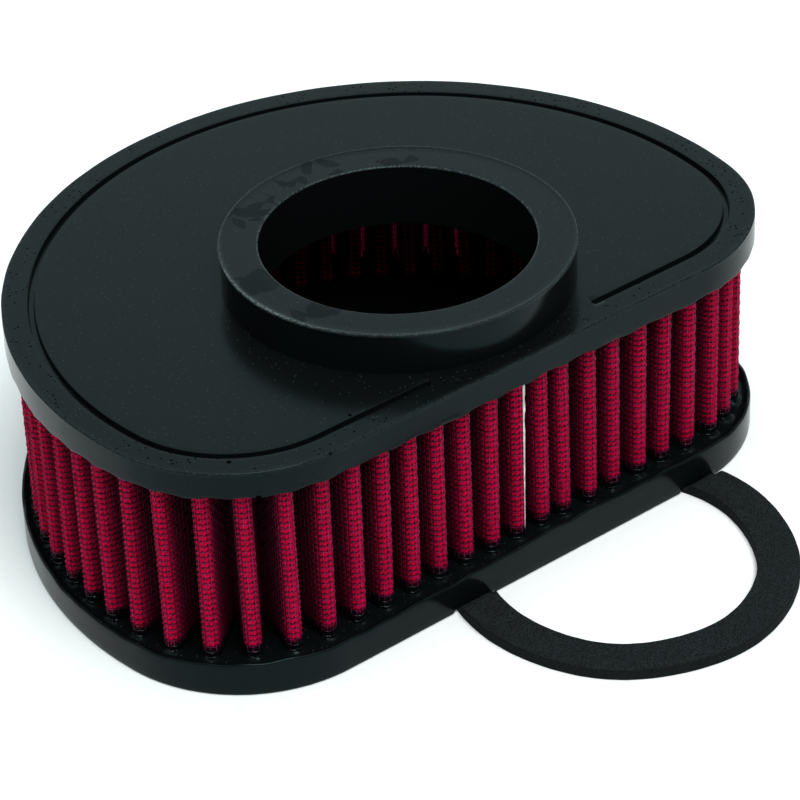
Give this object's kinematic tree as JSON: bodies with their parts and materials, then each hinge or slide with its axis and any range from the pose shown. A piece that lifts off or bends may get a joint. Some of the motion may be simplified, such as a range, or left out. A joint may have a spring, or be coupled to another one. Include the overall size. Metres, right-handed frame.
{
  "type": "air filter element",
  "caption": "Half-moon pleated motorcycle air filter element with a round neck on its moulded end cap, wire-screened gauze media and a loose oval foam gasket.",
  "frame": {"origin": "on the closed end's flat face, on the neck's axis", "axes": "+Z along the neck's axis, from the closed end to the neck; the straight side faces -Y and +X runs along it"},
  "size_m": [0.2006, 0.2092, 0.0774],
  "materials": {
    "end_cap": "glossy moulded black urethane",
    "wire_screen": "fine coated wire mesh, oiled",
    "gauze": "oiled red cotton gauze",
    "seam": "white adhesive strip",
    "foam": "fine open-cell foam, matt"
  },
  "bodies": {
    "element": {"top_end_cap": "end_cap", "bottom_end_cap": "end_cap", "outer_wire_screen": "wire_screen", "gauze_ply_1": "gauze", "gauze_ply_2": "gauze", "gauze_ply_3": "gauze", "gauze_ply_4": "gauze", "inner_wire_screen": "wire_screen", "seam_strip": "seam"},
    "gasket": {"foam_gasket": "foam"}
  },
  "joints": [
    {"name": "gasket_slide", "type": "slide", "parent": "element", "child": "gasket", "axis": [0, -1, 0], "range_m": [0, 0.06]}
  ]
}
